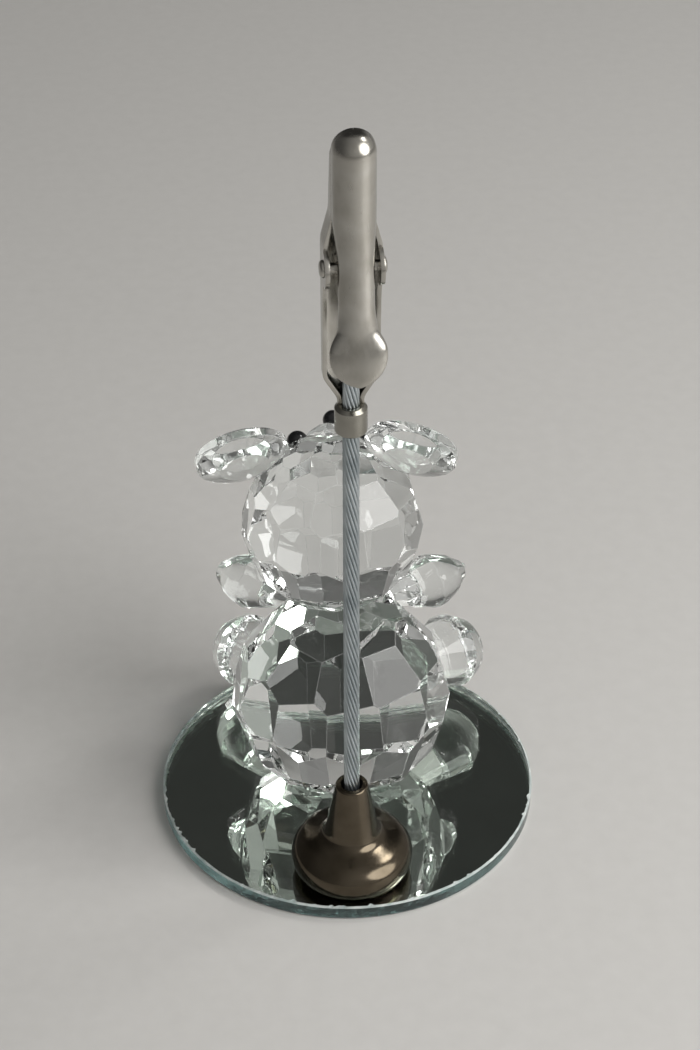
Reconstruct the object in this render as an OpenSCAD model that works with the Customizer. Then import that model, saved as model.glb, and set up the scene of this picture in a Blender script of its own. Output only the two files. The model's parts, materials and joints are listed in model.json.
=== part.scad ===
// Place card holder: a cut-crystal bear and a memo clip on a round mirror.
// Origin at the centre of the mirror's underside. The bear faces -Y, the clip stands at +Y.
// Its own left is +X. Sizes are in millimetres.

/* [Mirror base] */
// Diameter of the round mirror
mirror_d = 50; // [44:0.5:80]
// Thickness of the glass plate
glass_t = 2; // [1.5:0.1:6]
// Ground chamfer round both edges of the glass
glass_chamfer = 0.25; // [0.1:0.05:0.5]
// Thickness of the silver and paint under the glass
backing_t = 0.15; // [0.1:0.05:0.4]

/* [Bear body] */
// Distance from the body's centre to its facets
body_r = 13.8; // [12:0.1:15]
// Depth cut off the ball for the flat that is glued to the mirror
body_base_cut = 0.7; // [0.2:0.1:1.4]
// Depth cut off the ball for the flat under the head
body_neck_cut = 0.3; // [0.1:0.1:1]
// Depth cut off the ball for the flats under arms and feet
body_limb_cut = 0.4; // [0.1:0.1:1]
// How far the bear's body sits in front of the mirror's centre
body_forward = 2.4; // [0:0.1:4]
// How far the bear's body sits to its own left of the mirror's centre
body_aside = 0.8; // [-2:0.1:2]

/* [Bear head] */
// Distance from the head's centre to its facets
head_r = 11.2; // [10:0.1:12.5]
// Depth cut off the ball for the flat on the neck
head_neck_cut = 0.2; // [0.1:0.1:1]
// Depth cut off the ball for the flats under ears, eyes and muzzle
head_seat_cut = 0.2; // [0.1:0.1:1]
// Lean of the line from the body's centre to the head's centre, forward from upright
neck_lean = 12; // [0:1:20]
// How far the head was glued to the bear's own left of the body
head_aside = 1; // [-2:0.1:2]

/* [Ears] */
// Diameter of an ear
ear_d = 12.1; // [9:0.1:15]
// Thickness of an ear
ear_t = 3.6; // [2:0.1:5]
// Diameter of the small flat in the middle of each ear
ear_table_d = 6.4; // [3:0.1:8]
// Distance from the head's flat out to an ear's centre
ear_standoff = 4.2; // [3:0.1:5]

/* [Arms] */
// Length of an arm
arm_l = 11.5; // [10:0.1:14]
// Largest diameter of an arm
arm_d = 7.5; // [6:0.1:8.4]
// Diameter of the arm's small flat on its outer end
arm_table_d = 2.6; // [2:0.1:5]
// Distance from the body's flat out to the middle of the arm's girdle
arm_standoff = 5; // [4.4:0.1:5.3]

/* [Feet] */
// Length of a foot
foot_l = 12.4; // [9:0.1:13.4]
// Largest diameter of a foot
foot_d = 10.5; // [7:0.1:11]
// Diameter of the sole's flat
foot_table_d = 5.6; // [3:0.1:7]

/* [Face] */
// Distance from the muzzle's centre to its facets
muzzle_r = 4.2; // [3:0.1:4.5]
// Distance from the head's flat out to the muzzle's centre
muzzle_standoff = 1; // [0.6:0.1:2]
// Diameter of the nose bead
nose_d = 2.7; // [1.5:0.1:3.5]
// Diameter of an eye bead
eye_d = 2.8; // [1.5:0.1:3.5]

/* [Stand] */
// Distance from the mirror's centre back to the cable
stand_back = 16.3; // [15.6:0.1:17]
// How far the stand sits to the bear's own right of the mirror's centre
stand_aside = 0.6; // [0:0.1:2]
// Diameter of the foot's base
cone_base_d = 15.8; // [12:0.1:16]
// Thickness of the foot's round base
cone_base_t = 4.3; // [3:0.1:4.6]
// Height of the foot
cone_h = 13.4; // [10:0.1:18]
// Diameter of the foot at the top
cone_top_d = 4.2; // [3.6:0.1:5]
// Diameter of the foot's neck where it spreads into the base
cone_neck_d = 6.8; // [5.4:0.1:8]
// Diameter of the cable
cable_d = 2; // [1.6:0.1:2.4]
// Height of the sleeve's lower end above the mirror
sleeve_z = 67.7; // [60:0.1:90]
// Length of the crimp sleeve
sleeve_l = 3.6; // [3:0.1:6]
// Outer diameter of the crimp sleeve
sleeve_d = 3.8; // [3.2:0.1:5]

/* [Clip] */
// Turn of the clip on the cable, from facing straight back
clip_turn = 8; // [0:1:40]
// Height of the pivot above the sleeve's upper end
pivot_rise = 18.9; // [18.4:0.1:20]
// Distance from the cable's axis forward to the pivot
pivot_y = 1.8; // [1.6:0.1:2]
// Length of the jaws from the pivot to the tip
jaw_l = 16.8; // [14:0.1:22]
// How far the fixed jaw ends short of the moving one
jaw_short = 1.4; // [0:0.1:2]
// Width of the jaws at the tip
jaw_w = 4.7; // [4.2:0.1:5]
// Width of the fixed jaw across its ears
ear_w = 6.5; // [6.2:0.1:7]
// Thickness of the sheet metal
sheet_t = 0.5; // [0.4:0.05:0.6]
// Diameter of the thumb pad
pad_d = 6.4; // [5.6:0.1:7]
// Distance from the pivot down to the thumb pad's centre
pad_drop = 8.7; // [8.4:0.1:11]
// Width of the lever between thumb pad and jaw
waist_w = 4; // [3.8:0.1:4.4]
// Diameter of the rivet
pin_d = 1.2; // [1:0.05:1.3]
// Diameter of the rivet's heads
pin_head_d = 2; // [1.8:0.1:2.6]

/* [Spring] */
// Diameter of the spring wire
wire_d = 0.36; // [0.3:0.02:0.4]
// Diameter of the coil, measured at the middle of the wire
coil_d = 2.1; // [2:0.05:2.2]
// Number of turns of the coil
coil_turns = 2.5; // [1.5:1:2.5]
// Distance from one turn to the next
coil_pitch = 0.84; // [0.8:0.02:0.9]

/* [Hidden] */
$fn = 96;

// Colours, as the photograph shows them
crystal_colour = [0.86, 0.89, 0.88, 0.45];
glass_colour = [0.5, 0.68, 0.66, 0.6];
silver_colour = [0.35, 0.37, 0.36];
bead_colour = [0.03, 0.03, 0.035];
gunmetal_colour = [0.26, 0.23, 0.2];
nickel_colour = [0.66, 0.64, 0.58];
cable_colour = [0.5, 0.55, 0.57];

// One overrun for every cut, and the film of glue between glued faces
overrun = 1;
glue_t = 0.03;
top_z = backing_t + glass_t;

// Where a thing sits or points: its angle outward from straight ahead, then its rise above level.
// Ears and feet were glued by hand, so the left one and the right one differ a little
arm_turn = 48;
arm_tilt = 33;
arm_point_turn = 58;
arm_point_tilt = 0;
left_foot_turn = 39;
left_foot_tilt = -17.5;
right_foot_turn = 45;
right_foot_tilt = -15;
left_ear_turn = 86;
left_ear_tilt = 41;
right_ear_turn = 90;
right_ear_tilt = 49;
ear_face_turn = 16;
ear_face_tilt = 27;
muzzle_tilt = 10;
nose_tilt = 35;
eye_turn = 27;
eye_tilt = 33;

// Rows of facets on a crystal ball: height of the row as an angle, and facets in it
ball_rows = [[15, 12], [43, 10], [68, 5]];
muzzle_rows = [[20, 8], [56, 5]];

// How far along its length an arm or a foot is widest
arm_girdle_share = 0.52;
foot_girdle_share = 0.64;

body_base_r = body_r - body_base_cut;
body_neck_r = body_r - body_neck_cut;
body_limb_r = body_r - body_limb_cut;
head_neck_r = head_r - head_neck_cut;
head_seat_r = head_r - head_seat_cut;
body_c = [body_aside, -body_forward, top_z + glue_t + body_base_r];
neck_l = body_neck_r + glue_t + head_neck_r;
head_c = body_c + [head_aside, -neck_l * sin(neck_lean), neck_l * cos(neck_lean)];

// Unit vector toward an angle outward and a rise, on the bear's own left (side 1) or right (-1)
function aim(out, rise, side) = [side * sin(out) * cos(rise), -cos(out) * cos(rise), sin(rise)];

muzzle_c = head_c + (head_seat_r + muzzle_standoff) * aim(0, muzzle_tilt, 1);
nose_seat_r = muzzle_r - glue_t;
nose_reach = nose_seat_r + 0.38 * nose_d;
eye_reach = head_seat_r + 0.36 * eye_d;

function foot_turn(side) = side > 0 ? left_foot_turn : right_foot_turn;
function foot_tilt(side) = side > 0 ? left_foot_tilt : right_foot_tilt;
function ear_turn(side) = side > 0 ? left_ear_turn : right_ear_turn;
function ear_tilt(side) = side > 0 ? left_ear_tilt : right_ear_tilt;

// Turns local +Z toward an angle outward and a rise
module toward(out, rise, side = 1) {
    rotate([0, 0, -90 + side * out]) rotate([0, 90 - rise, 0]) children();
}

// All that lies below a plane square to local +Z at height d
module below(d, reach) {
    translate([-reach, -reach, d - 2 * reach]) cube(2 * reach);
}

// All that lies above a plane square to local +Z at height d
module above(d, reach) {
    translate([-reach, -reach, d]) cube(2 * reach);
}

// A ball cut by planes: rows of facets above and below its middle, and one at each pole
module facet_ball(r, rows) {
    intersection_for (half = [-1, 1])
        intersection() {
            rotate([90 - 90 * half, 0, 0]) below(r, 2 * r);
            intersection_for (k = [0 : len(rows) - 1])
                intersection_for (i = [0 : rows[k][1] - 1])
                    rotate([0, 90 - half * rows[k][0], (i + 0.25 * half + 0.3 * k) * 360 / rows[k][1]])
                        below(r, 2 * r);
        }
}

// How much deeper than the seat's rim a drop's facets are cut, as a share of its radius
facet_cut_share = 0.12;

// A cut drop on a flat at height 0: a coned back of flat facets, a round girdle and a table
module drop(l, d, table_d, girdle_share, facets) {
    seat_d = 0.42 * d;
    girdle_z = girdle_share * l;
    bulge = 0.03 * d;
    crown_z = girdle_z + 0.3 * (l - girdle_z);
    cone_run = (d - seat_d) / 2;
    slope = atan2(cone_run, girdle_z);
    intersection() {
        rotate_extrude() polygon([
            [0, 0], [seat_d / 2, 0], [d / 2 - bulge, girdle_z - bulge], [d / 2, girdle_z + bulge],
            [d / 2 - bulge, crown_z], [(d + table_d) / 4 + bulge, (crown_z + l) / 2],
            [table_d / 2, l], [0, l]
        ]);
        intersection_for (i = [0 : facets - 1])
            rotate([0, 0, i * 360 / facets])
                translate([(1 - facet_cut_share) * seat_d / 2 * cos(180 / facets), 0, 0])
                    rotate([0, 90 + slope, 0])
                        below(0, 3 * l);
    }
}

module mirror_glass() {
    color(glass_colour) translate([0, 0, backing_t])
        rotate_extrude($fn = 180) polygon([
            [0, 0], [mirror_d / 2 - glass_chamfer, 0], [mirror_d / 2, glass_chamfer],
            [mirror_d / 2, glass_t - glass_chamfer], [mirror_d / 2 - glass_chamfer, glass_t],
            [0, glass_t]
        ]);
}

module mirror_backing() {
    color(silver_colour) cylinder(h = backing_t - seat_gap, r = mirror_d / 2 - glass_chamfer, $fn = 180);
}

module body() {
    color(crystal_colour) translate(body_c)
        intersection() {
            facet_ball(body_r, ball_rows);
            rotate([180, 0, 0]) below(body_base_r, 2 * body_r);
            rotate([neck_lean, 0, 0]) below(body_neck_r, 2 * body_r);
            for_both_limbs();
        }
}

// The space inside the four flats that arms and feet are glued to
module for_both_limbs() {
    intersection_for (side = [-1, 1]) {
        intersection() {
            toward(arm_turn, arm_tilt, side) below(body_limb_r, 2 * body_r);
            toward(foot_turn(side), foot_tilt(side), side) below(body_limb_r, 2 * body_r);
        }
    }
}

module head() {
    color(crystal_colour) translate(head_c)
        intersection() {
            facet_ball(head_r, ball_rows);
            rotate([180 + neck_lean, 0, 0]) below(head_neck_r, 2 * head_r);
            toward(0, muzzle_tilt) below(head_seat_r, 2 * head_r);
            intersection_for (side = [-1, 1])
                intersection() {
                    toward(ear_turn(side), ear_tilt(side), side) below(head_seat_r, 2 * head_r);
                    toward(eye_turn, eye_tilt, side) below(head_seat_r, 2 * head_r);
                }
        }
}

module ear(side) {
    bevel_z = 0.16 * ear_t;
    color(crystal_colour) translate(head_c)
        intersection() {
            translate((head_seat_r + ear_standoff) * aim(ear_turn(side), ear_tilt(side), side))
                toward(ear_face_turn, ear_face_tilt, side)
                    rotate_extrude() polygon([
                        [0, -ear_t / 2], [ear_table_d / 2, -ear_t / 2], [ear_d / 2, -bevel_z],
                        [ear_d / 2, bevel_z], [ear_table_d / 2, ear_t / 2], [0, ear_t / 2]
                    ]);
            toward(ear_turn(side), ear_tilt(side), side) above(head_seat_r + glue_t, 2 * head_r);
        }
}

module arm(side) {
    color(crystal_colour) translate(body_c)
        intersection() {
            translate((body_limb_r + arm_standoff) * aim(arm_turn, arm_tilt, side))
                toward(arm_point_turn, arm_point_tilt, side)
                    translate([0, 0, -arm_girdle_share * arm_l])
                        drop(arm_l, arm_d, arm_table_d, arm_girdle_share, 9);
            toward(arm_turn, arm_tilt, side) above(body_limb_r + glue_t, 2 * body_r);
        }
}

module foot(side) {
    color(crystal_colour) translate(body_c)
        toward(foot_turn(side), foot_tilt(side), side)
            translate([0, 0, body_limb_r + glue_t]) drop(foot_l, foot_d, foot_table_d, foot_girdle_share, 10);
}

module muzzle() {
    color(crystal_colour)
        intersection() {
            translate(muzzle_c) toward(0, muzzle_tilt) facet_ball(muzzle_r, muzzle_rows);
            translate(muzzle_c) toward(0, nose_tilt) below(nose_seat_r, 2 * muzzle_r);
            translate(head_c) toward(0, muzzle_tilt) above(head_seat_r + glue_t, 2 * head_r);
        }
}

module nose() {
    color(bead_colour) translate(muzzle_c) toward(0, nose_tilt)
        intersection() {
            translate([0, 0, nose_reach]) sphere(d = nose_d, $fn = 48);
            above(nose_seat_r + glue_t, 2 * nose_d);
        }
}

module eye(side) {
    color(bead_colour) translate(head_c) toward(eye_turn, eye_tilt, side)
        intersection() {
            translate([0, 0, eye_reach]) sphere(d = eye_d, $fn = 48);
            above(head_seat_r + glue_t, 2 * eye_d);
        }
}

// The foot: its bore, the countersunk mouth and the curves of its outline
bore_clearance = 0.03;
mouth_clearance = 0.45;
mouth_depth = 1.2;
bore_floor = 1.5;
widest_share = 0.44;
tuck_in = 0.6;
shoulder_in = 2.6;
fillet_r = 1.6;
fillet_lean = 20;
lip_t = 0.2;

module at_stand(z) {
    translate([-stand_aside, stand_back, z]) children();
}

module stand_cone() {
    base_r = cone_base_d / 2;
    neck_r = cone_neck_d / 2;
    widest_z = widest_share * cone_base_t;
    crown_rise = cone_base_t - widest_z;
    crown_end = atan2(crown_rise, shoulder_in * tan(fillet_lean));
    crown_r = base_r - shoulder_in * (1 - cos(crown_end));
    crown_z = widest_z + crown_rise * sin(crown_end);
    fillet_foot_r = neck_r + fillet_r * (1 - sin(fillet_lean));
    neck_z = crown_z + (crown_r - fillet_foot_r) * tan(fillet_lean) + fillet_r * cos(fillet_lean);
    color(gunmetal_colour) at_stand(top_z + glue_t) difference() {
        rotate_extrude() polygon(concat(
            [[0, 0]],
            [for (a = [-90 : 15 : 0]) [base_r - tuck_in * (1 - cos(a)), widest_z * (1 + sin(a))]],
            [for (k = [1 : 7]) let (a = k / 7 * crown_end) [base_r - shoulder_in * (1 - cos(a)),
                widest_z + crown_rise * sin(a)]],
            [for (a = [270 - fillet_lean : -10 : 190])
                [neck_r + fillet_r * (1 + cos(a)), neck_z + fillet_r * sin(a)]],
            [[cone_top_d / 2, cone_h - lip_t], [cone_top_d / 2 - lip_t, cone_h], [0, cone_h]]
        ));
        translate([0, 0, bore_floor]) cylinder(h = cone_h, r = cable_d / 2 + bore_clearance);
        translate([0, 0, cone_h - mouth_depth])
            cylinder(h = mouth_depth, r1 = cable_d / 2, r2 = cable_d / 2 + mouth_clearance);
    }
}

// Heights of the clip's parts: the sleeve, the pivot and the cable's upper end under the coil
sleeve_foot_z = top_z + sleeve_z;
sleeve_top_z = sleeve_foot_z + sleeve_l;
pivot_z = sleeve_top_z + pivot_rise;
cable_end_drop = 5.4;
seat_gap = 0.02;

module cable() {
    foot_z = top_z + glue_t + bore_floor + seat_gap;
    color(cable_colour) at_stand(foot_z)
        cylinder(h = pivot_z - cable_end_drop - foot_z, r = cable_d / 2);
}

module crimp_sleeve() {
    bore_r = cable_d / 2 + seat_gap;
    edge = lip_t;
    color(nickel_colour) at_stand(sleeve_foot_z)
        rotate_extrude() polygon([
            [bore_r, 0], [sleeve_d / 2 - edge, 0], [sleeve_d / 2, edge],
            [sleeve_d / 2, sleeve_l - 2 * edge], [sleeve_d / 2 - 2 * edge, sleeve_l], [bore_r, sleeve_l]
        ]);
}

// The clip's own frame: the cable's axis at the pivot's height, +Y out of the thumb pad's face
module at_clip() {
    at_stand(pivot_z) rotate([0, 0, clip_turn]) children();
}

// Fixed jaw, as heights from the pivot: neck round the cable, shoulder, ears and narrow jaw
trough_r = cable_d / 2 + seat_gap;
shoulder_drop = 18;
shoulder_rise = 3.2;
taper_z = 2.6;
jaw_z = 6;
lip_y = 1.9;
rail_y = 1;
pivot_ear_r = 2.2;
teeth_z = 7.6;
tooth_pitch = 1.2;
tooth_depth = 0.4;
tooth_count = floor((jaw_l - jaw_short - jaw_w / 2 - teeth_z) / tooth_pitch);
jaw_gap = 0.12;
back_y = -trough_r - sheet_t;
tip_back_y = lip_y - 2.4 * sheet_t;

// Flat pattern of the fixed jaw, drawn in by a margin on every side
module jaw_plan(margin) {
    neck = trough_r + sheet_t - margin;
    wide = ear_w / 2 - margin;
    slim = jaw_w / 2 - margin;
    tip = jaw_l - jaw_short - jaw_w / 2;
    low = -shoulder_drop - (margin > 0 ? overrun : 0);
    half = [[neck, low], [neck, -shoulder_drop], [wide, -shoulder_drop + shoulder_rise],
        [wide, taper_z], [slim, jaw_z], [slim, tip]];
    polygon(concat(half, [for (i = [len(half) - 1 : -1 : 0]) [-half[i][0], half[i][1]]]));
    translate([0, tip]) circle(r = slim, $fn = 48);
}

// The toothed edge of a jaw, seen from the side, as points of [forward, up]
function teeth(y) = [for (i = [0 : tooth_count - 1], edge = [0, 0.5])
    [y - (edge > 0 ? tooth_depth : 0), teeth_z + (i + edge) * tooth_pitch]];

// Stands a flat pattern of [aside, up] upright, from depth y forward
module upright(y, depth) {
    translate([0, y + depth, 0]) rotate([90, 0, 0]) linear_extrude(depth) children();
}

// Pushes a side view of [forward, up] out to both sides
module sideways(width) {
    rotate([90, 0, 90]) linear_extrude(width, center = true) children();
}

module clip_fixed_jaw() {
    depth = pivot_y + pivot_ear_r - back_y;
    color(nickel_colour) at_clip() difference() {
        union() {
            intersection() {
                upright(back_y, depth) jaw_plan(0);
                sideways(2 * ear_w) union() {
                    polygon(concat(
                        [[back_y, jaw_z], [back_y, -shoulder_drop], [0, -shoulder_drop],
                         [rail_y / 2, -shoulder_drop + shoulder_rise], [rail_y, -pivot_ear_r * 2],
                         [pivot_y, 0], [lip_y, taper_z + sheet_t], [lip_y, teeth_z - tooth_pitch / 2]],
                        teeth(lip_y),
                        [[lip_y, teeth_z + tooth_count * tooth_pitch], [lip_y, jaw_l], [tip_back_y, jaw_l]]
                    ));
                    translate([pivot_y, 0]) circle(r = pivot_ear_r);
                }
            }
            translate([0, 0, -pivot_rise + seat_gap])
                cylinder(h = pivot_rise - shoulder_drop - seat_gap, r = trough_r + sheet_t);
        }
        intersection() {
            upright(back_y, 2 * depth) jaw_plan(sheet_t);
            sideways(2 * ear_w) polygon([
                [back_y + sheet_t, jaw_z], [back_y + sheet_t, -shoulder_drop - overrun],
                [2 * depth, -shoulder_drop - overrun], [2 * depth, jaw_l], [tip_back_y + sheet_t, jaw_l]
            ]);
        }
        translate([0, 0, -pivot_rise - overrun])
            cylinder(h = pivot_rise - shoulder_drop + 2 * overrun, r = trough_r);
        translate([-ear_w, 0, -pivot_rise - overrun])
            cube([2 * ear_w, depth, pivot_rise - shoulder_drop + overrun]);
        translate([-ear_w, pivot_y, 0]) rotate([0, 90, 0])
            cylinder(h = 2 * ear_w, r = pin_d / 2 + seat_gap);
    }
}

// Lever, as heights from the pivot and distances of its face forward of the cable's axis
pad_face_y = 7;
pad_t = 1.1;
pad_tilt = 11;
flare_z = -6.6;
flare_w = 4.8;
flare_y = 6.5;
arm_low_z = -4.4;
arm_low_y = 6.2;
arm_high_z = 2.6;
arm_high_y = 5.4;
jaw_face_y = 5.2;
arm_depth = 1.7;
fork_r = 1.6;
shelf_y = 3.5;
shelf_z = 2.4;
shelf_low_z = -0.5;
fork_clearance = 0.06;
crown_steps = 6;
tip_steps = 4;
closed_share = 0.25;
round_share = 0.85;

// One ring of the lever's folded section at height z: round face, flanks back to the edge, and
// the hollow behind the face, which is full at open 1 and nearly closed at open 0
function lever_ring(z, face_y, edge_y, w, open) =
    let (r = w / 2, deep = face_y - edge_y, round_y = min(r, round_share * deep),
        inner_r = max(r - sheet_t, closed_share * r),
        inner_y = max(round_y - sheet_t, closed_share * round_y),
        outer = concat([[-r, edge_y]],
            [for (i = [0 : crown_steps]) let (a = 180 - i * 180 / crown_steps)
                [r * cos(a), face_y - round_y * (1 - sin(a))]],
            [[r, edge_y]]),
        inner = concat([[inner_r, edge_y]],
            [for (i = [0 : crown_steps]) let (a = i * 180 / crown_steps)
                [inner_r * cos(a),
                 edge_y + (deep - round_y + inner_y * sin(a)) * max(open, closed_share)]],
            [[-inner_r, edge_y]]))
    [for (q = concat(outer, inner)) [q[0], q[1], z]];

// A folded shell through rings; each ring is an outer line and the inner line back again
module folded_shell(rings) {
    n = len(rings[0]);
    last = (len(rings) - 1) * n;
    walls = [for (i = [0 : len(rings) - 2], k = [0 : n - 1])
        let (a = i * n + k, b = i * n + (k + 1) % n) each [[a, b, a + n], [b, b + n, a + n]]];
    ends = [for (k = [0 : n / 2 - 2]) each
        [[k, n - 1 - k, k + 1], [k + 1, n - 1 - k, n - 2 - k],
         [last + k, last + k + 1, last + n - 1 - k], [last + k + 1, last + n - 2 - k, last + n - 1 - k]]];
    polyhedron([for (ring = rings) each ring], concat(walls, ends));
}

lips_y = lip_y + jaw_gap;
tip_z = jaw_l - jaw_w / 2;
teeth_end_z = teeth_z + tooth_count * tooth_pitch;
arm_rings = [
    lever_ring(flare_z, flare_y, flare_y - arm_depth, flare_w, 0),
    lever_ring((flare_z + arm_low_z) / 2, (flare_y + arm_low_y) / 2, arm_low_y - arm_depth,
        (flare_w + waist_w) / 2 - sheet_t / 3, 1),
    lever_ring(arm_low_z, arm_low_y, arm_low_y - arm_depth, waist_w, 1),
    lever_ring(arm_high_z, arm_high_y, arm_high_y - arm_depth, waist_w, 1),
    lever_ring((arm_high_z + jaw_z) / 2, jaw_face_y, lips_y + arm_depth / 3, (waist_w + jaw_w) / 2, 1),
    lever_ring(jaw_z, jaw_face_y, lips_y, jaw_w, 1)
];
tooth_rings = [for (t = teeth(lips_y)) lever_ring(t[1], jaw_face_y, t[0], jaw_w, 1)];
tip_rings = [
    lever_ring(teeth_end_z, jaw_face_y, lips_y, jaw_w, 1),
    for (i = [0 : tip_steps])
        let (a = i * 72 / tip_steps, r = jaw_w / 2)
            lever_ring(tip_z + r * sin(a), jaw_face_y - r * (1 - cos(a)), lips_y, jaw_w * cos(a),
                1 - min(1, 2 * i / tip_steps))
];

module lever_shell() {
    folded_shell(concat(arm_rings, tooth_rings, tip_rings));
}

// Thumb pad: a domed coin with a rounded edge
module thumb_pad() {
    edge = pad_t / 2;
    translate([0, pad_face_y, -pad_drop]) rotate([-90 + pad_tilt, 0, 0])
        rotate_extrude() polygon(concat(
            [[0, -pad_t]],
            [for (a = [-90 : 15 : 60]) [pad_d / 2 - edge * (1 - cos(a)), -edge + 0.8 * edge * sin(a)]],
            [[pad_d / 5, 0], [0, 0]]
        ));
}

// The fork that straddles the rivet: two plates in line with the flanks, joined by a shelf
module fork() {
    plate_y = shelf_y + 1.5 * sheet_t;
    for (side = [-1, 1])
        translate([side * (waist_w - sheet_t) / 2, 0, 0]) sideways(sheet_t) union() {
            translate([pivot_y, 0]) circle(r = fork_r);
            polygon([[pivot_y, -fork_r], [plate_y, -fork_r], [plate_y, shelf_z], [pivot_y, fork_r]]);
        }
    translate([-waist_w / 2, shelf_y, shelf_low_z]) cube([waist_w, sheet_t, shelf_z - shelf_low_z]);
}

module clip_lever() {
    color(nickel_colour) at_clip() difference() {
        union() {
            lever_shell();
            thumb_pad();
            fork();
        }
        translate([-waist_w, pivot_y, 0]) rotate([0, 90, 0])
            cylinder(h = 2 * waist_w, r = pin_d / 2 + fork_clearance);
    }
}

module pivot_pin() {
    head_t = 0.9 * sheet_t;
    reach = ear_w / 2 + seat_gap;
    color(nickel_colour) at_clip() translate([0, pivot_y, 0]) rotate([0, 90, 0])
        rotate_extrude() polygon([
            [0, -reach - head_t], [pin_head_d / 3, -reach - head_t], [pin_head_d / 2, -reach - head_t / 2],
            [pin_head_d / 2, -reach], [pin_d / 2, -reach], [pin_d / 2, reach], [pin_head_d / 2, reach],
            [pin_head_d / 2, reach + head_t / 2], [pin_head_d / 3, reach + head_t], [0, reach + head_t]
        ]);
}

// Spring: a coil round the rivet, one leg down to the fixed jaw's floor, one to the lever's arm
coil_rings = 8;
wire_sides = 6;
leg_l = 4.3;
coil_span = coil_turns * coil_pitch;
coil_steps = coil_turns * coil_rings;
rest_gap = 0.05;
floor_y = back_y + sheet_t + rest_gap;
arm_rest_y = arm_low_y - 2 * sheet_t - rest_gap;
bend = 0.5;

coil_path = [for (i = [0 : coil_steps]) let (a = 180 - i * 360 / coil_rings)
    [-coil_span / 2 + i * coil_span / coil_steps, pivot_y + coil_d / 2 * cos(a), coil_d / 2 * sin(a)]];
floor_leg = [[-coil_span / 2, floor_y, -leg_l], [-coil_span / 2, floor_y + wire_d, -leg_l],
    [-coil_span / 2, floor_y + wire_d + bend / 4, -leg_l + bend / 4],
    [-coil_span / 2, floor_y + wire_d + bend / 2, -leg_l + bend]];
arm_x = coil_span / 2;
arm_leg = [[arm_x, arm_rest_y - wire_d - bend / 2, -leg_l + bend],
    [arm_x, arm_rest_y - wire_d - bend / 4, -leg_l + bend / 4],
    [arm_x, arm_rest_y - wire_d, -leg_l], [arm_x, arm_rest_y, -leg_l]];
wire_path = concat(floor_leg, coil_path, arm_leg);

function unit(v) = v / norm(v);
function heading(path, i) = unit(path[min(i + 1, len(path) - 1)] - path[max(i - 1, 0)]);
function carried(v, path, i) = unit(v - (v * heading(path, i)) * heading(path, i));
function wire_frames(path, i, v) = i == len(path) ? [] :
    let (n = carried(v, path, i)) concat([n], wire_frames(path, i + 1, n));

// A tube of straight-sided rings along a path
module wire_tube(path, d, sides) {
    frames = wire_frames(path, 0, [1, 0, 0]);
    points = [for (i = [0 : len(path) - 1], k = [0 : sides - 1])
        let (a = k * 360 / sides, side = cross(heading(path, i), frames[i]))
            path[i] + d / 2 * (cos(a) * frames[i] + sin(a) * side)];
    last = len(path) - 1;
    walls = [for (i = [0 : last - 1], k = [0 : sides - 1])
        let (a = i * sides + k, b = i * sides + (k + 1) % sides)
            each [[a, a + sides, b], [b, a + sides, b + sides]]];
    ends = [for (k = [1 : sides - 2]) each
        [[0, k, k + 1], [last * sides, last * sides + k + 1, last * sides + k]]];
    polyhedron(points, concat(walls, ends));
}

// Least gap of the wire to itself, between points at least half a turn apart along it
wire_gap = min([for (i = [0 : len(wire_path) - 1], j = [i + coil_rings / 2 : len(wire_path) - 1])
    norm(wire_path[i] - wire_path[j])]) - wire_d;
echo(spring_wire_gap = wire_gap);

module torsion_spring() {
    color(cable_colour) at_clip() wire_tube(wire_path, wire_d, wire_sides);
}

mirror_glass();
mirror_backing();
body();
head();
ear(1);  // left_ear
ear(-1);  // right_ear
arm(1);  // left_arm
arm(-1);  // right_arm
foot(1);  // left_foot
foot(-1);  // right_foot
muzzle();
nose();
eye(1);  // left_eye
eye(-1);  // right_eye
stand_cone();
cable();
crimp_sleeve();
clip_fixed_jaw();
clip_lever();
pivot_pin();
torsion_spring();
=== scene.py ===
import json
import math
import bmesh
import bpy
from mathutils import Matrix, Vector, noise

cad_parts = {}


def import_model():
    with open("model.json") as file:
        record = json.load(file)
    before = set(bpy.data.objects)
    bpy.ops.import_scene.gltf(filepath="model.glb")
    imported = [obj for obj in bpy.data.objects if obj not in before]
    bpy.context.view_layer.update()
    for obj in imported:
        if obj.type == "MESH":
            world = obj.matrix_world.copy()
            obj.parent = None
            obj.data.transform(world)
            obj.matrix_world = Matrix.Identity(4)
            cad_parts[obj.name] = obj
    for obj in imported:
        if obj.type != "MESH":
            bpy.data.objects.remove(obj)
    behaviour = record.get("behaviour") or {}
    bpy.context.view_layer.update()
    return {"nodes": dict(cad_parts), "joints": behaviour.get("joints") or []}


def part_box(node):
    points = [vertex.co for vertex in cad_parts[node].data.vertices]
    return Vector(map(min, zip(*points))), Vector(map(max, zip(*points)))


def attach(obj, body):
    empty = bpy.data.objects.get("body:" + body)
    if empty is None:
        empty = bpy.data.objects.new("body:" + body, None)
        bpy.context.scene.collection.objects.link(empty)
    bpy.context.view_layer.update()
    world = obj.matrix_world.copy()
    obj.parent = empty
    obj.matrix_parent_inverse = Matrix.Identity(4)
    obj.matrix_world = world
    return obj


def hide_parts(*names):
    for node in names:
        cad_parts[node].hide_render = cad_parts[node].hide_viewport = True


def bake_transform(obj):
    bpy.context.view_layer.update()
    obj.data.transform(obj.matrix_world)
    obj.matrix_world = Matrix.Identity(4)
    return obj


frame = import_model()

# Sizes are in millimetres, and Blender counts in metres
MM = 0.001
nodes = frame["nodes"]
scene = bpy.context.scene
scene.view_settings.view_transform = "Standard"


# Places from the frame

def in_mm(place):
    """A place of the frame in millimetres, rounded to clear what single floats add to it."""
    return [round(value / MM, 4) for value in place]


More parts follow.
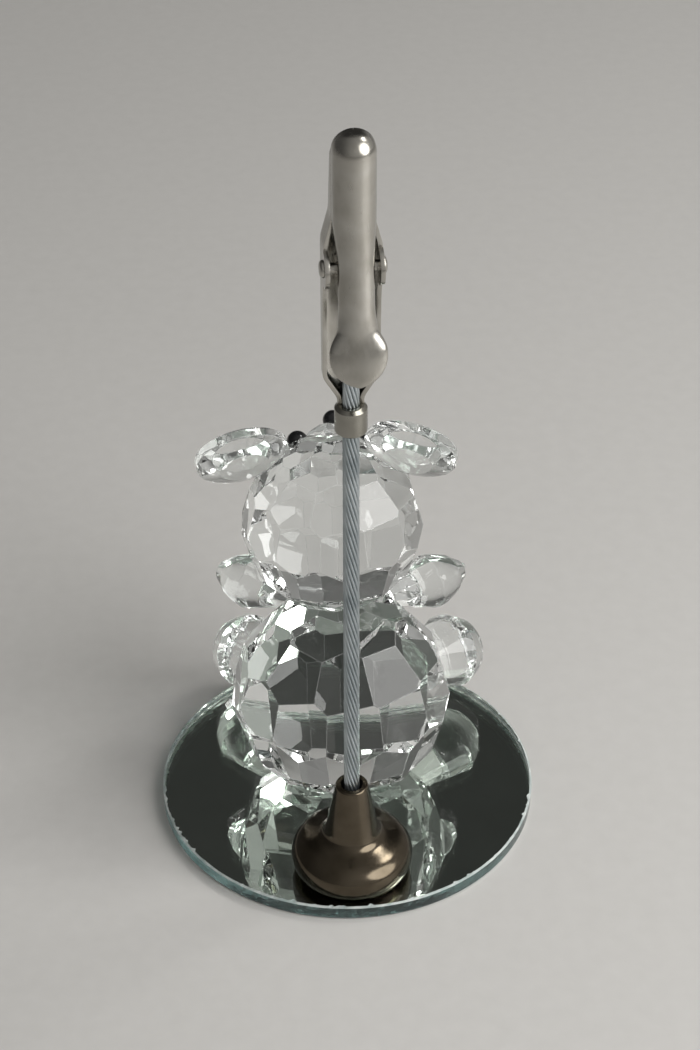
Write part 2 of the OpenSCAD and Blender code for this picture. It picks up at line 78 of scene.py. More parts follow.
def box(node):
    """A node's lowest and highest corners, in millimetres."""
    return [in_mm(corner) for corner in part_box(node)]


def upright_axis(node):
    """Where the middle of a node's box stands, in millimetres."""
    low, high = box(node)
    return tuple(round((low[i] + high[i]) / 2, 4) for i in range(2))


(_, _, GLASS_LOW), (GLASS_R, _, GLASS_HIGH) = box("mirror_glass")
STAND = upright_axis("crimp_sleeve")


# Materials

def principled(mat):
    return mat.node_tree.nodes["Principled BSDF"]


def material(name, **values):
    """A Principled material; values are its own sockets, with _ for each space."""
    mat = bpy.data.materials.new(name)
    mat.use_nodes = True
    for socket, value in values.items():
        principled(mat).inputs[socket.replace("_", " ")].default_value = value
    return mat


def texture(mat, scale, detail, stretch=(1, 1, 1)):
    """A noise in the piece's own coordinates; scale is in repeats per metre."""
    tree = mat.node_tree
    place = tree.nodes.new("ShaderNodeTexCoord")
    mapping = tree.nodes.new("ShaderNodeMapping")
    mapping.inputs["Scale"].default_value = stretch
    tree.links.new(place.outputs["Object"], mapping.inputs["Vector"])
    node = tree.nodes.new("ShaderNodeTexNoise")
    node.inputs["Scale"].default_value = scale
    node.inputs["Detail"].default_value = detail
    tree.links.new(mapping.outputs["Vector"], node.inputs["Vector"])
    return node.outputs["Fac"]


# Most of a noise lies between these two values
NOISE_LOW, NOISE_HIGH = 0.3, 0.7


def tint(mat, source, dark, light, low=NOISE_LOW, high=NOISE_HIGH):
    """The colour goes from dark to light, as a noise goes from low to high."""
    tree = mat.node_tree
    node = tree.nodes.new("ShaderNodeValToRGB")
    first, last = node.color_ramp.elements
    first.position, first.color = low, (*dark, 1)
    last.position, last.color = high, (*light, 1)
    tree.links.new(source, node.inputs["Fac"])
    tree.links.new(node.outputs["Color"], principled(mat).inputs["Base Color"])


def gloss(mat, source, polished, dull):
    """The roughness goes from polished to dull, as a noise goes from low to high."""
    tree = mat.node_tree
    node = tree.nodes.new("ShaderNodeMapRange")
    node.inputs["From Min"].default_value = NOISE_LOW
    node.inputs["From Max"].default_value = NOISE_HIGH
    node.inputs["To Min"].default_value = polished
    node.inputs["To Max"].default_value = dull
    tree.links.new(source, node.inputs["Value"])
    tree.links.new(node.outputs["Result"], principled(mat).inputs["Roughness"])


def bump(mat, source, strength, depth):
    """A noise raises the surface by up to depth millimetres."""
    tree = mat.node_tree
    node = tree.nodes.new("ShaderNodeBump")
    node.inputs["Strength"].default_value = strength
    node.inputs["Distance"].default_value = depth * MM
    tree.links.new(source, node.inputs["Height"])
    tree.links.new(node.outputs["Normal"], principled(mat).inputs["Normal"])


def crystal_material():
    mat = material("cut_crystal", Base_Color=(0.965, 0.985, 0.98, 1), Roughness=0.0,
                   IOR=1.54, Transmission_Weight=1.0)
    wave = texture(mat, scale=260, detail=1.0)
    bump(mat, wave, strength=0.12, depth=0.1)
    return mat


def edge_material():
    """The broken edges between the facets, whitened and made less clear as a painted highlight for the
    light they catch.
    """
    mat = material("crystal_edge_highlight", Roughness=0.2, IOR=1.54, Transmission_Weight=0.75)
    highlight_noise = texture(mat, scale=2200, detail=2.0)
    # Painted highlight: the near-white, part-clouded colour of the edges stands for the light caught
    # along them
    tint(mat, highlight_noise, dark=(0.8, 0.83, 0.83), light=(1, 1, 1), low=0.35, high=0.65)
    return mat


def plate_material():
    mat = material("plate_glass", Base_Color=(0.93, 0.975, 0.955, 1), Roughness=0.0,
                   IOR=1.52, Transmission_Weight=1.0)
    wave = texture(mat, scale=60, detail=1.0)
    bump(mat, wave, strength=0.02, depth=0.1)
    return mat


def ground_material():
    """The plate's ground chamfers, which are dull and grey."""
    mat = material("ground_glass_edge", IOR=1.52, Transmission_Weight=0.3)
    grain = texture(mat, scale=5200, detail=4.0)
    cloud = texture(mat, scale=700, detail=3.0)
    tint(mat, cloud, dark=(0.42, 0.5, 0.49), light=(0.8, 0.84, 0.83), low=0.35)
    gloss(mat, grain, polished=0.3, dull=0.6)
    bump(mat, grain, strength=0.6, depth=0.05)
    return mat


def side_material():
    """The plate's side, where the glass shows its green."""
    mat = material("glass_side", IOR=1.52, Transmission_Weight=1.0)
    cloud = texture(mat, scale=420, detail=4.0)
    scratch = texture(mat, scale=1500, detail=4.0, stretch=(1, 1, 0.15))
    tint(mat, cloud, dark=(0.13, 0.27, 0.27), light=(0.45, 0.78, 0.77), low=0.38, high=0.68)
    gloss(mat, scratch, polished=0.04, dull=0.16)
    bump(mat, cloud, strength=0.3, depth=0.2)
    return mat


def silver_material():
    mat = material("silver_layer", Metallic=1.0)
    haze = texture(mat, scale=120, detail=4.0)
    tint(mat, haze, dark=(0.7, 0.72, 0.68), light=(0.78, 0.8, 0.76), high=0.75)
    gloss(mat, haze, polished=0.004, dull=0.02)
    return mat


def paint_material():
    mat = material("backing_paint")
    grain = texture(mat, scale=1500, detail=4.0)
    tint(mat, grain, dark=(0.1, 0.11, 0.115), light=(0.17, 0.18, 0.185))
    gloss(mat, grain, polished=0.5, dull=0.7)
    bump(mat, grain, strength=0.3, depth=0.03)
    return mat


def metal_material(name, dark, light, polished, dull, grain_scale, stretch=(1, 1, 1)):
    """A plated metal: a fine grain along its making, and clouds of colour eight times as broad."""
    mat = material(name, Metallic=1.0)
    cloud = texture(mat, scale=grain_scale / 8, detail=3.0)
    grain = texture(mat, scale=grain_scale, detail=4.0, stretch=stretch)
    tint(mat, cloud, dark, light)
    gloss(mat, grain, polished, dull)
    bump(mat, grain, strength=0.1, depth=0.02)
    return mat


def bead_material():
    mat = material("black_bead", Roughness=0.08)
    dust = texture(mat, scale=1800, detail=3.0)
    tint(mat, dust, dark=(0.006, 0.006, 0.007), light=(0.02, 0.02, 0.022), low=0.4, high=0.8)
    return mat


def floor_material():
    mat = material("floor", Roughness=0.36)
    grain = texture(mat, scale=400, detail=3.0)
    tint(mat, grain, dark=(0.6, 0.59, 0.575), light=(0.63, 0.62, 0.605), low=0.2, high=0.8)
    return mat


crystal = crystal_material()
crystal_edge_highlight = edge_material()
plate_glass = plate_material()
ground_edge = ground_material()
glass_side = side_material()
silver = silver_material()
paint = paint_material()
gunmetal = metal_material("black_nickel", dark=(0.078, 0.064, 0.045), light=(0.12, 0.1, 0.074),
                          polished=0.12, dull=0.22, grain_scale=2500, stretch=(1, 1, 6))
bore_dark = metal_material("bore_wall", dark=(0.05, 0.048, 0.045), light=(0.09, 0.085, 0.08),
                           polished=0.35, dull=0.5, grain_scale=2500)
strand_steel = metal_material("strand_steel", dark=(0.3, 0.34, 0.36), light=(0.5, 0.54, 0.56),
                              polished=0.3, dull=0.45, grain_scale=2200)
core_steel = metal_material("strand_core", dark=(0.1, 0.11, 0.12), light=(0.16, 0.17, 0.18),
                            polished=0.45, dull=0.6, grain_scale=2200)
sleeve_metal = metal_material("sleeve_nickel", dark=(0.24, 0.23, 0.2), light=(0.36, 0.35, 0.315),
                              polished=0.16, dull=0.28, grain_scale=1800)
nickel = metal_material("satin_nickel", dark=(0.36, 0.345, 0.31), light=(0.5, 0.485, 0.45),
                        polished=0.18, dull=0.28, grain_scale=2000, stretch=(1, 1, 0.2))
spring_steel = metal_material("spring_wire", dark=(0.4, 0.4, 0.4), light=(0.55, 0.55, 0.54),
                              polished=0.25, dull=0.4, grain_scale=2500)
bead = bead_material()


# Helpers

def steps(low, high, count):
    """Even steps from low to high, with both ends."""
    return [low + (high - low) * i / count for i in range(count + 1)]


def rounding_off(low, high, count):
    """Steps that crowd together toward high, for a round tip."""
    return [low + (high - low) * math.sin(math.pi / 2 * i / count) for i in range(count + 1)]


def as_object(name, bm, *mats):
    """The finished bmesh as an object with its materials."""
    mesh = bpy.data.meshes.new(name)
    bm.to_mesh(mesh)
    bm.free()
    for mat in mats:
        mesh.materials.append(mat)
    obj = bpy.data.objects.new(name, mesh)
    scene.collection.objects.link(obj)
    return obj


def take_place(obj, node, body="stand"):
    """The object stands for a node of the frame."""
    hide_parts(node)
    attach(obj, body)


def apply_modifiers(obj):
    graph = bpy.context.evaluated_depsgraph_get()
    graph.update()
    mesh = bpy.data.meshes.new_from_object(obj.evaluated_get(graph))
    obj.modifiers.clear()
    old, obj.data = obj.data, mesh
    bpy.data.meshes.remove(old)


# Corners of a node nearer than this are one, and faces that turn less than this are one facet
NODE_WELD, FACET_TURN = 0.0002, math.radians(0.3)


def softened(node, name, sharp, width, mats, segments=1, edge_slot=0):
    """The node's own form as a new piece, with each edge over sharp degrees broken by width.

    edge_slot is the number, in mats, of the broken edges' material."""
    bm = bmesh.new()
    bm.from_mesh(nodes[node].data)
    bmesh.ops.remove_doubles(bm, verts=bm.verts, dist=NODE_WELD * MM)
    bmesh.ops.dissolve_limit(bm, angle_limit=FACET_TURN, verts=bm.verts, edges=bm.edges)
    for face in bm.faces:
        face.smooth = True
        face.material_index = 0
    for edge in bm.edges:
        edge.smooth = not (edge.is_manifold and edge.calc_face_angle(0) > math.radians(sharp))
    obj = as_object(name, bm, *mats)
    bevel = obj.modifiers.new("edges", "BEVEL")
    bevel.limit_method = "ANGLE"
    bevel.angle_limit = math.radians(sharp)
    bevel.width = width * MM
    bevel.segments = segments
    bevel.material = edge_slot
    bevel.harden_normals = True
    bevel.use_clamp_overlap = True
    apply_modifiers(obj)
    take_place(obj, node)
    return obj


def turned(name, profile, sides, mats, centre=(0, 0), jitter=None, smooth=True, sharp=30):
    """A turned form: profile is (radius, height, number), from axis to axis, where the number is the
    material's for the band that ends there.

    jitter gives how far a point moves outward, for its radius, height and angle."""
    bm = bmesh.new()
    rings = []
    for r, z, _ in profile:
        ring = []
        for k in range(sides if r else 1):
            a = 2 * math.pi * k / sides
            out = r + (jitter(r, z, a) if jitter else 0)
            ring.append(bm.verts.new(((centre[0] + out * math.cos(a)) * MM,
                                      (centre[1] + out * math.sin(a)) * MM, z * MM)))
        rings.append(ring)
    for low, high, (_, _, number) in zip(rings, rings[1:], profile[1:]):
        for k in range(sides):
            n = (k + 1) % sides
            corners = [low[k % len(low)], low[n % len(low)], high[n % len(high)], high[k % len(high)]]
            face = bm.faces.new(list(dict.fromkeys(corners)))
            face.material_index = number
            face.smooth = smooth
    bmesh.ops.recalc_face_normals(bm, faces=bm.faces)
    for edge in bm.edges:
        edge.smooth = edge.calc_face_angle(0) < math.radians(sharp)
    return as_object(name, bm, *mats)


def tube(bm, path, radius, sides, number=0):
    """A round tube along a path, closed at both ends; number is its material's."""
    rings, across = [], Vector((1, 0, 0))
    for i, at in enumerate(path):
        ahead = (path[min(i + 1, len(path) - 1)] - path[max(i - 1, 0)]).normalized()
        across = (across - ahead * across.dot(ahead)).normalized()
        other = ahead.cross(across)
        rings.append([bm.verts.new((at + radius * (math.cos(a) * across + math.sin(a) * other)) * MM)
                      for a in (2 * math.pi * k / sides for k in range(sides))])
    for low, high in zip(rings, rings[1:]):
        for k in range(sides):
            n = (k + 1) % sides
            face = bm.faces.new((low[k], low[n], high[n], high[k]))
            face.smooth = True
            face.material_index = number
    for ring in (rings[0][::-1], rings[-1]):
        bm.faces.new(ring).material_index = number


# Crystal pieces

# The least angle of a cut edge, in degrees, and how wide that edge is broken
BALL, MUZZLE, EAR, LIMB = (5, 0.035), (5, 0.03), (14, 0.05), (24, 0.05)
CRYSTALS = {"body": BALL, "head": BALL, "muzzle": MUZZLE, "left_ear": EAR, "right_ear": EAR,
            "left_arm": LIMB, "right_arm": LIMB, "left_foot": LIMB, "right_foot": LIMB}
NUB_AT, NUB_R = (-15.6, -15.8, 25.7), 0.45


def add_nub(arm):
    """The small drop of glass that the photograph shows on the right arm's outer end."""
    bm = bmesh.new()
    bm.from_mesh(arm.data)
    ball = bmesh.ops.create_icosphere(bm, subdivisions=3, radius=NUB_R * MM,
                                      matrix=Matrix.Translation(Vector(NUB_AT) * MM))
    for face in {face for vert in ball["verts"] for face in vert.link_faces}:
        face.smooth = True
    bm.to_mesh(arm.data)
    bm.free()


for node, (sharp, width) in CRYSTALS.items():
    cut = softened(node, "cut_" + node, sharp, width, (crystal, crystal_edge_highlight), edge_slot=1)
    if node == "right_arm":
        add_nub(cut)

for node in ("nose", "left_eye", "right_eye"):
    nodes[node].material_slots[0].material = bead


# Mirror

# The radius to which the plate's top is flat
FLAT_R = GLASS_R - 1.4


def chipped(r, z, a):
    """How far the plate's rim moves outward, which is never more than 0.

    Its side is uneven, and its top edge wanders and has small shells broken out of it. Each of
    the three noises is read at an offset of its own, so that they don't agree."""
    side_depth, wander_depth, fine_depth, shell_depth, shell_least = 0.02, 0.1, 0.06, 0.8, 0.2
    # Repeats of each noise in a millimetre of the rim
    wander_rate, fine_rate, shell_rate = 0.35, 2.2, 1.5
    at = Vector((math.cos(a), math.sin(a), 0)) * GLASS_R
    fine = abs(noise.noise(at * fine_rate + Vector((7, 3, z))))
    if r == GLASS_R:
        return -side_depth - side_depth * fine
    if r > FLAT_R and z == GLASS_HIGH:
        wander = noise.noise(at * wander_rate + Vector((0, 0, z))) * 0.5 + 0.5
        shell = max(0.0, noise.noise(at * shell_rate + Vector((0, 9, z * 2))) - shell_least)
        return -wander_depth * wander - shell_depth * shell - fine_depth * fine
    return 0


def mirror_plate():
    """The glass plate, with a ground chamfer below and above its green side."""
    glass, ground, side = 0, 1, 2
    low_cut, high_cut = 0.25, 0.2
    side_low, side_high = GLASS_LOW + 0.8, GLASS_HIGH - 0.7
    profile = [(0, GLASS_LOW, glass), (GLASS_R - low_cut, GLASS_LOW, glass),
               (GLASS_R, GLASS_LOW + low_cut, ground),
               (GLASS_R, side_low, side), (GLASS_R, side_high, side),
               (GLASS_R, GLASS_HIGH - high_cut, side),
               (GLASS_R - high_cut, GLASS_HIGH, ground),
               (FLAT_R, GLASS_HIGH, glass), (0, GLASS_HIGH, glass)]
    return turned("mirror_plate", profile, sides=720, mats=(plate_glass, ground_edge, glass_side),
                  jitter=chipped, smooth=False)


def mirror_silvering():
    """The silver under the glass, with paint below it and round its edge."""
    silvered, painted = 0, 1
    (_, _, low), (back_r, _, high) = box("mirror_backing")
    profile = [(0, low, painted), (back_r - 0.05, low, painted), (back_r - 0.02, high, painted),
               (0, high, silvered)]
    return turned("mirror_silvering", profile, sides=256, mats=(silver, paint))


take_place(mirror_plate(), "mirror_glass")
take_place(mirror_silvering(), "mirror_backing")


# Stand

def flowing(points, reach, step=0.12):
    """An outline walked in even steps and averaged over a reach to both sides, without creases."""
    even = [Vector(points[0])]
    for low, high in zip(points, points[1:]):
        low, high = Vector(low), Vector(high)
        count = max(1, round((high - low).length / step))
        even += [low.lerp(high, (i + 1) / count) for i in range(count)]
    span = round(reach / step)
    out = []
    for i in range(len(even)):
        near = min(span, i, len(even) - 1 - i)
        part = even[i - near:i + near + 1]
        out.append(tuple(sum(part, Vector((0, 0))) / len(part)))
    return out


def foot_profile():
    """The foot's outline: tucked under, domed, then a fillet that runs on into the tapered neck."""
    (_, _, foot_low), (foot_x, _, foot_high) = box("stand_cone")
    base_r, tall = round(foot_x - STAND[0], 4), round(foot_high - foot_low, 4)
    widest_z, crown_z, tuck, shoulder, slope = 1.89, 4.3, 0.6, 2.6, math.radians(20)
    neck_r, fillet, top_r, lip = 3.4, 1.6, 2.1, 0.2
    mouth_r, mouth_depth, bore_r, bore_floor = 1.42, 1.15, 1.05, 1.5
    rise = crown_z - widest_z
    under = [(base_r - tuck * (1 - math.cos(a)), widest_z * (1 + math.sin(a)))
             for a in steps(-math.pi / 2, 0, 10)]
    crown_end = math.atan2(rise, shoulder * math.tan(slope))
    crown = [(base_r - shoulder * (1 - math.cos(a)), widest_z + rise * math.sin(a))
             for a in steps(0, crown_end, 18)[1:]]
    run = crown[-1][0] - neck_r - fillet * (1 - math.sin(slope))
    neck_z = crown[-1][1] + run * math.tan(slope) + fillet * math.cos(slope)
    neck = [(neck_r + fillet * (1 + math.cos(a)), neck_z + fillet * math.sin(a))
            for a in steps(math.radians(270) - slope, math.radians(190), 20)]
    side = flowing(under + crown + neck + [(top_r, tall - 1.1 * lip)], reach=0.7)
    rim = [(top_r - 0.3 * lip, tall - 0.4 * lip), (top_r - lip, tall), (mouth_r, tall)]
    bore = [(bore_r, tall - mouth_depth), (bore_r - 0.01, bore_floor), (0, bore_floor)]
    outside, inside = 0, 1
    return ([(r, z + foot_low, outside) for r, z in [(0, 0)] + side + rim]
            + [(r, z + foot_low, inside) for r, z in bore])


def strand():
    """The cable: a core and twelve wires laid round it, left-handed, as the photograph shows."""
    wires, wire_r, wire_sides, lay, lay_r, step = 12, 0.197, 10, 20.4, 0.795, 0.6
    core_r, core_sides, core_gap = 0.64, 24, 0.02
    (_, _, low_z), (_, _, high_z) = box("cable")
    heights = steps(low_z, high_z, int((high_z - low_z) / step))
    bm = bmesh.new()
    for k in range(wires):
        angles = [2 * math.pi * (k / wires - z / lay) for z in heights]
        path = [Vector((STAND[0] + lay_r * math.cos(a), STAND[1] + lay_r * math.sin(a), z))
                for a, z in zip(angles, heights)]
        tube(bm, path, wire_r, wire_sides)
    axis = [Vector((*STAND, z)) for z in (low_z + core_gap, high_z - core_gap)]
    tube(bm, axis, core_r, core_sides, number=1)
    return as_object("cable_strand", bm, strand_steel, core_steel)


foot = turned("turned_foot", foot_profile(), sides=160, mats=(gunmetal, bore_dark), centre=STAND,
              sharp=40)
take_place(foot, "stand_cone")
take_place(strand(), "cable")
softened("crimp_sleeve", "crimped_sleeve", sharp=20, width=0.07,
         mats=(sleeve_metal,), segments=2)


# Clip

# The clip's own frame: it starts on the cable's axis at the rivet's height, +Y comes out of the thumb
# pad's face, and the rivet lies along X at PIVOT_Y. The joint's axis points along its -X, and has few
# enough digits that the turn is rounded to a thousandth of a degree.
hinge = frame["joints"][0]
*HINGE_AT, PIVOT_Z = in_mm(hinge["pos_m"])
PIVOT_Y = round(math.dist(STAND, HINGE_AT), 4)
TURN = math.radians(round(math.degrees(math.atan2(-hinge["axis"][1], -hinge["axis"][0])), 3))
CLIP = Matrix.Translation(Vector((*STAND, PIVOT_Z)) * MM) @ Matrix.Rotation(TURN, 4, "Z")

# The sheet's thickness, and how near two of its corners are one
SHEET_T, SHEET_WELD = 0.5, 0.0001
# The jaws' width, and heights that both sheets use
JAW_W, ARM_Z, WAIST_Z, JAW_Z = 4.7, -4.4, 2.6, 6
TEETH, TEETH_Z, TOOTH_PITCH, TOOTH_DEPTH, TOOTH_LAND = 4, 7.6, 1.2, 0.4, 0.44


def along(keys, at):
    """The value at a place along (place, value) keys, in straight runs."""
    for (low, first), (high, last) in zip(keys, keys[1:]):
        if at <= high:
            return first + (last - first) * max(0.0, (at - low) / (high - low))
    return keys[-1][1]


def eased(keys, at, reach=0.7):
    """As along, with its corners rounded off over a reach to both sides."""
    half = 4
    return sum(along(keys, at + reach * k / half) for k in range(-half, half + 1)) / (2 * half + 1)


def section(face, bend, edge, squareness, front):
    """One row of a folded sheet, from free edge to free edge: (share of half the width, depth)."""
    arc, flank, power = 20, 6, 2 / squareness
    side = face - front * bend
    line = [(-1, edge + (side - edge) * i / flank) for i in range(flank)]
    for i in range(arc + 1):
        a = math.pi * (i / arc - 0.5)
        across = math.copysign(abs(math.sin(a)) ** power, a)
        line.append((across, face - front * bend * (1 - abs(math.cos(a)) ** power)))
    return line + [(1, side + (edge - side) * (i + 1) / flank) for i in range(flank)]


def foremost(bm, front):
    """The face that is nearest to the middle of a sheet's front."""
    def rank(face):
        middle = face.calc_center_median()
        return abs(middle.x) - front * middle.y
    return min(bm.faces, key=rank)


def folded(name, rows, squareness, front, edge_w):
    """A folded sheet: each row is (height, width, face, depth of the bend, free edge).

    squareness is 2 for a round bend, and more for a squarer one. front is 1 where the flanks run
    back from the face, and -1 where they run forward. edge_w is how wide the edges are rounded."""
    bm = bmesh.new()
    grid = [[bm.verts.new(Vector((x * width / 2, y, z)) * MM)
             for x, y in section(face, bend, edge, squareness, front)]
            for z, width, face, bend, edge in rows]
    for low, high in zip(grid, grid[1:]):
        for k in range(len(low) - 1):
            bm.faces.new((low[k], low[k + 1], high[k + 1], high[k])).smooth = True
    bmesh.ops.remove_doubles(bm, verts=bm.verts, dist=SHEET_WELD * MM)
    bmesh.ops.recalc_face_normals(bm, faces=bm.faces)
    if foremost(bm, front).normal.y * front < 0:
        bmesh.ops.reverse_faces(bm, faces=bm.faces)
    obj = as_object(name, bm, nickel)
    wall = obj.modifiers.new("wall", "SOLIDIFY")
    wall.thickness, wall.offset = SHEET_T * MM, -1
    edges = obj.modifiers.new("edges", "BEVEL")
    edges.limit_method, edges.angle_limit = "ANGLE", math.radians(50)
    edges.width, edges.segments = edge_w * MM, 3
    apply_modifiers(obj)
    obj.data.transform(CLIP)
    for face in obj.data.polygons:
        face.use_smooth = True
    return obj


def tooth_rows(lips):
    """The toothed stretch of a jaw, as heights and free edges."""
    rows = []
    for k in range(TEETH):
        tooth = TEETH_Z + k * TOOTH_PITCH
        rows += [(tooth, lips), (tooth + TOOTH_LAND * TOOTH_PITCH, lips),
                 (tooth + 0.5 * TOOTH_PITCH, lips - TOOTH_DEPTH),
                 (tooth + (0.5 + TOOTH_LAND) * TOOTH_PITCH, lips - TOOTH_DEPTH)]
    return rows + [(TEETH_Z + TEETH * TOOTH_PITCH, lips)]


def with_ear(edge, z, ear_r, front):
    """The free edge at a height, with a round ear for the rivet hanging from the flank."""
    if abs(z) >= ear_r:
        return edge
    return front * min(front * edge, front * PIVOT_Y - math.sqrt(ear_r ** 2 - z ** 2))


def lever_rows():
    """The lever, from its round thumb pad up past the ears and the teeth to its round tip."""
    pad_r, pad_z, flare_z, flank, blend = 3.2, -8.7, -6, 0.2, 6
    waist_w, ear_r, lips = 4.0, 1.6, 2.02
    jaw_face, jaw_bend = 5.2, 2.3
    plain_z, tip_z, tip_l, tip_fall = 13.5, 14.45, 2.235, 2.35
    # Keys of height and value for the width, the face, the depth of the bend and the free edge
    width = [(-20, 4.7), (flare_z, 4.5), (-3.6, waist_w), (WAIST_Z, waist_w), (JAW_Z, JAW_W)]
    face = [(-12, 7.6), (pad_z, 6.98), (-6.6, 6.5), (ARM_Z, 6.2), (WAIST_Z, 5.4), (JAW_Z, jaw_face)]
    bend = [(-20, 0.62), (-8.4, 0.7), (flare_z, 1.05), (-4, 1.5), (WAIST_Z, 1.5), (JAW_Z, jaw_bend)]
    edge = [(ARM_Z, 4.5), (-2.6, 4.3), (-1.7, 1.8), (1.7, 1.8), (WAIST_Z, 3.6), (JAW_Z, lips)]
    heights = (rounding_off(pad_z, pad_z - pad_r, 16)[::-1] + steps(pad_z + 0.2, ARM_Z - 0.1, 22)
               + steps(ARM_Z + 0.1, -ear_r - 0.15, 10) + steps(-ear_r, ear_r, 20)
               + steps(ear_r + 0.15, TEETH_Z - 0.1, 20))
    rows = []
    for z in heights:
        pad_half = math.sqrt(max(0.0, pad_r ** 2 - (z - pad_z) ** 2))
        w = 2 * max(pad_half, 0.002)
        y, depth = eased(face, z), eased(bend, z)
        if z > pad_z:
            # The pad's round runs into the arm's sides
            w = min(2 * pad_r, (w ** blend + eased(width, z) ** blend) ** (1 / blend))
        if z < pad_z:
            depth *= max(pad_half / pad_r, 0.02) ** 0.5
        if z < flare_z:
            free = y - depth
        elif z < ARM_Z:
            free = y - depth - flank * (z - flare_z) / (ARM_Z - flare_z)
        else:
            free = eased(edge, z, reach=0.2)
        rows.append((z, w, y, depth, min(with_ear(free, z, ear_r, front=1), y - depth)))
    for z, free in tooth_rows(lips):
        rows.append((z, JAW_W, jaw_face, eased(bend, z), free))
    for z in steps(plain_z, tip_z - 0.1, 4) + rounding_off(tip_z, tip_z + tip_l, 16):
        part = min(1.0, max(0.0, z - tip_z) / tip_l)
        shrink = math.sqrt(1 - part ** 2)
        y = jaw_face - tip_fall * (1 - shrink)
        depth = min(jaw_bend, y - lips - 0.02) * max(shrink, 0.5)
        rows.append((z, JAW_W * max(shrink, 0.01), y, depth, lips))
    return rows


def jaw_rows():
    """The fixed jaw, from the neck that holds the cable up past the ears and the teeth to its tip."""
    neck_low, neck_high, neck_r = -18.86, -18, 1.52
    ears_low, ear_w, ear_r, lips, side_bend = -14.8, 6.5, 2.2, 1.9, 1.0
    plain_z, end_z, tip_r = 12.9, 15.4, 2.35
    # Keys as in lever_rows
    width = [(neck_high, 2 * neck_r), (ears_low, ear_w), (WAIST_Z, ear_w), (JAW_Z, JAW_W)]
    face = [(JAW_Z, -neck_r), (16.8, 0.7)]
    bend = [(neck_high, neck_r), (ears_low, side_bend)]
    edge = [(neck_high, 0), (ears_low, 0.5), (ARM_Z, 1.0), (-ear_r, 1.6), (ear_r, lips)]
    heights = (steps(neck_low, ears_low + 0.2, 16) + steps(ears_low + 0.4, -ear_r - 0.1, 14)
               + steps(-ear_r, ear_r, 24) + steps(ear_r + 0.15, TEETH_Z - 0.1, 16))
    rows = []
    for z in heights:
        free = with_ear(eased(edge, z, reach=0.2), z, ear_r, front=-1)
        rows.append((z, eased(width, z, reach=0.5), eased(face, z), eased(bend, z), free))
    for z, free in tooth_rows(lips):
        rows.append((z, JAW_W, along(face, z), side_bend, free))
    for z in rounding_off(plain_z, end_z, 14):
        part = max(0.0, z - end_z + tip_r) / tip_r
        w = JAW_W * max(math.sqrt(max(0.0, 1 - part ** 2)), 0.02)
        rows.append((z, w, along(face, z), side_bend - 0.2 * part, lips))
    return rows


def rivet():
    """The rivet: a shank with a domed head at each end."""
    shank_r, head_r, head_t, reach = 0.6, 1.0, 0.45, 3.27
    # Powers below 1 make a dome fuller than a quarter of an ellipse
    side_power, top_power = 0.6, 0.9
    dome = [(head_r * math.cos(a) ** side_power, reach + head_t * math.sin(a) ** top_power)
            for a in steps(0, math.radians(77), 11)] + [(0, reach + head_t)]
    profile = [(r, -z, 0) for r, z in reversed(dome)] + [(shank_r, -reach, 0), (shank_r, reach, 0)]
    profile += [(r, z, 0) for r, z in dome]
    obj = turned("rivet_pin", profile, sides=48, mats=(nickel,), sharp=50)
    obj.data.transform(CLIP @ Matrix.Translation(Vector((0, PIVOT_Y, 0)) * MM) @
                       Matrix.Rotation(math.pi / 2, 4, "Y"))
    return obj


def spring():
    """The spring's wire: a leg on the fixed jaw's floor, the coil, and a leg inside the lever."""
    coil_r, turns, pitch, turn_points = 1.05, 2.5, 0.84, 28
    wire_r, wire_sides, leg, floor_y, arm_y = 0.18, 14, 4.3, -0.97, 5.15
    # A leg's bent end, as distances from its sheet and up from its tip
    bent_end = [(0, 0), (0.3, 0), (0.52, 0.12), (0.61, 0.5)]
    half = turns * pitch / 2
    path = [Vector((-half, floor_y + y, z - leg)) for y, z in bent_end]
    count = int(turns * turn_points)
    for i in range(count + 1):
        a = math.pi - 2 * math.pi * turns * i / count
        path.append(Vector((-half + 2 * half * i / count, PIVOT_Y + coil_r * math.cos(a),
                            coil_r * math.sin(a))))
    path += [Vector((half, arm_y - y, z - leg)) for y, z in reversed(bent_end)]
    bm = bmesh.new()
    tube(bm, path, wire_r, wire_sides)
    obj = as_object("spring_coil", bm, spring_steel)
    obj.data.transform(CLIP)
    return obj


def bend_with_lever(obj):
    """Hides the frame's spring node and bakes the piece's place into its mesh."""
    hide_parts("torsion_spring")
    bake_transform(obj)


lever = folded("lever_sheet", lever_rows(), squareness=2.0, front=1, edge_w=0.16)
take_place(lever, "clip_lever", "lever")
jaw = folded("jaw_sheet", jaw_rows(), squareness=3.4, front=-1, edge_w=0.12)
take_place(jaw, "clip_fixed_jaw")
take_place(rivet(), "pivot_pin")
bend_with_lever(spring())


# Floor, light and camera, with places in metres

def floor():
    bm = bmesh.new()
    bmesh.ops.create_circle(bm, cap_ends=True, segments=96, radius=4)
    as_object("floor", bm, floor_material())


def lamp(name, place, size, power, colour):
    """A soft lamp that looks at the middle of the object."""
    aim = Vector((0, 0, 0.05))
    data = bpy.data.lights.new(name, "AREA")
    data.shape = "ELLIPSE"
    data.size, data.size_y = size
    data.energy = power
    data.color = colour
    obj = bpy.data.objects.new(name, data)
    scene.collection.objects.link(obj)
    obj.location = place
    obj.rotation_euler = (aim - Vector(place)).to_track_quat("-Z", "Y").to_euler()


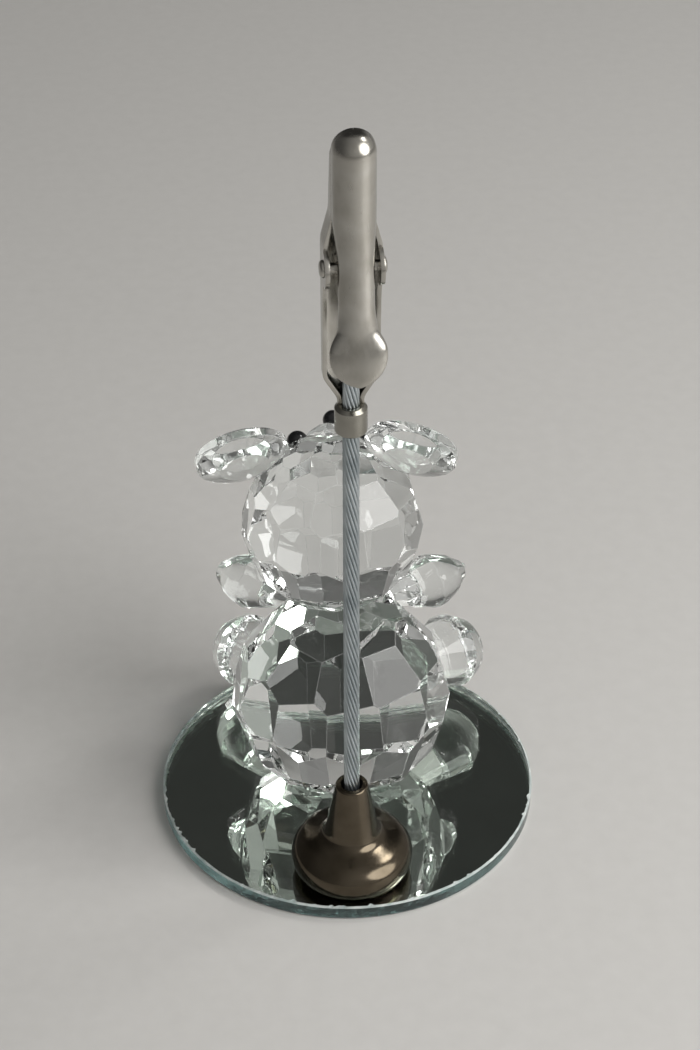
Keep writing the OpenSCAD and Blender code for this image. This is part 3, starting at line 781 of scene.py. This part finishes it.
def facing(tree, ray, toward, low, high, out_low, out_high):
    """How far a ray points toward a direction, as a value that eases from out_low to out_high."""
    dot = tree.nodes.new("ShaderNodeVectorMath")
    dot.operation = "DOT_PRODUCT"
    dot.inputs[1].default_value = Vector(toward).normalized()
    tree.links.new(ray, dot.inputs[0])
    node = tree.nodes.new("ShaderNodeMapRange")
    node.interpolation_type = "SMOOTHSTEP"
    for name, value in zip(("From Min", "From Max", "To Min", "To Max"), (low, high, out_low, out_high)):
        node.inputs[name].default_value = value
    tree.links.new(dot.outputs["Value"], node.inputs["Value"])
    return node.outputs["Result"]


def world():
    """A room that is bright at the photograph's right and dark where the mirror looks."""
    dark_level = 0.04
    sky = bpy.data.worlds.new("room")
    sky.use_nodes = True
    tree = sky.node_tree
    back = tree.nodes["Background"]
    ray = tree.nodes.new("ShaderNodeTexCoord").outputs["Generated"]
    side = facing(tree, ray, toward=(-0.9, 0.4, 0.1), low=-0.9, high=0.9, out_low=0.1, out_high=0.52)
    dark = facing(tree, ray, toward=(0, -0.8, 0.6), low=0.72, high=0.93, out_low=0, out_high=1)
    shade = tree.nodes.new("ShaderNodeMix")
    shade.data_type = "FLOAT"
    shade.inputs["B"].default_value = dark_level
    tree.links.new(dark, shade.inputs["Factor"])
    tree.links.new(side, shade.inputs["A"])
    tree.links.new(shade.outputs["Result"], back.inputs["Strength"])
    back.inputs["Color"].default_value = (1, 0.985, 0.95, 1)
    scene.world = sky


def camera():
    """The photograph's camera, worked out from the outline of the mirror."""
    place = Vector((-0.46, 242.9, 224.45)) * MM
    pitch, roll = math.radians(36.55), math.radians(0.15)
    # The focal length and the photograph's long side, in its pixels
    focal, photo_long = 2412, 1050
    ahead = Vector((0, -math.cos(pitch), -math.sin(pitch)))
    right, up = Vector((-1, 0, 0)), Vector((0, -math.sin(pitch), math.cos(pitch)))
    across = math.cos(roll) * right - math.sin(roll) * up
    upward = math.cos(roll) * up + math.sin(roll) * right
    data = bpy.data.cameras.new("camera")
    data.sensor_width = 36
    data.lens = focal * data.sensor_width / photo_long
    data.clip_start, data.clip_end = 0.01, 20
    obj = bpy.data.objects.new("camera", data)
    scene.collection.objects.link(obj)
    turn = Matrix((across, upward, -ahead)).transposed()
    obj.matrix_world = Matrix.Translation(place) @ turn.to_4x4()
    scene.camera = obj


floor()
world()
camera()
lamp("window", place=(-0.36, 0.2, 0.3), size=(0.44, 0.48), power=2.3, colour=(1, 0.99, 0.97))
lamp("ceiling", place=(-0.34, -0.16, 0.56), size=(0.16, 0.16), power=0.8, colour=(1, 0.99, 0.96))

# A ray passes through many facets before it leaves the crystals and the mirror
scene.cycles.max_bounces = 36
scene.cycles.transmission_bounces = 32
scene.cycles.glossy_bounces = 16
scene.cycles.transparent_max_bounces = 24
